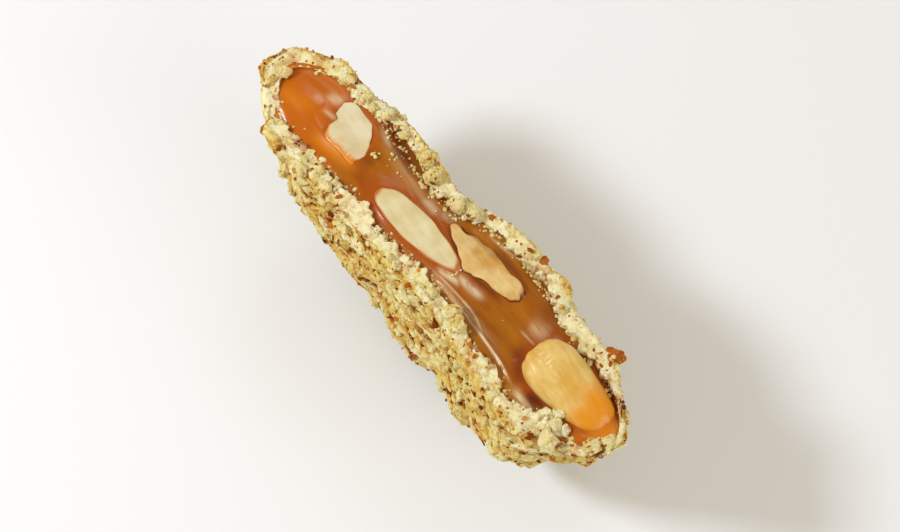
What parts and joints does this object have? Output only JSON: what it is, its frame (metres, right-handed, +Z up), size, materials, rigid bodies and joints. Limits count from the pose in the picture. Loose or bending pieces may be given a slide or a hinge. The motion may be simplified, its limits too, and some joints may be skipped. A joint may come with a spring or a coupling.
{
  "type": "nut-coated butter toffee piece, cut in half",
  "caption": "Half of a flat round toffee patty, cut across to show amber toffee and almonds in a thick coat of ground almonds; it rests on its rounded rim.",
  "frame": {"origin": "on the floor, near the middle of the small flat spot of the rounded rim that the piece rests on", "axes": "+X along the cut, +Y through the patty's thickness towards its far broad face, +Z up to the cut face"},
  "size_m": [0.0906, 0.0251, 0.0383],
  "materials": {
    "ground_almond": "crumbly ground almond with brown skin flecks",
    "toffee": "smooth glossy amber toffee",
    "almond_flesh": "matt cut almond",
    "roasted_almond": "roasted blanched almond"
  },
  "bodies": {
    "root": {"coat": "ground_almond", "toffee": "toffee", "almond_block": "almond_flesh", "almond_slice": "almond_flesh", "almond_half": "roasted_almond", "almond_whole": "roasted_almond"}
  },
  "joints": []
}
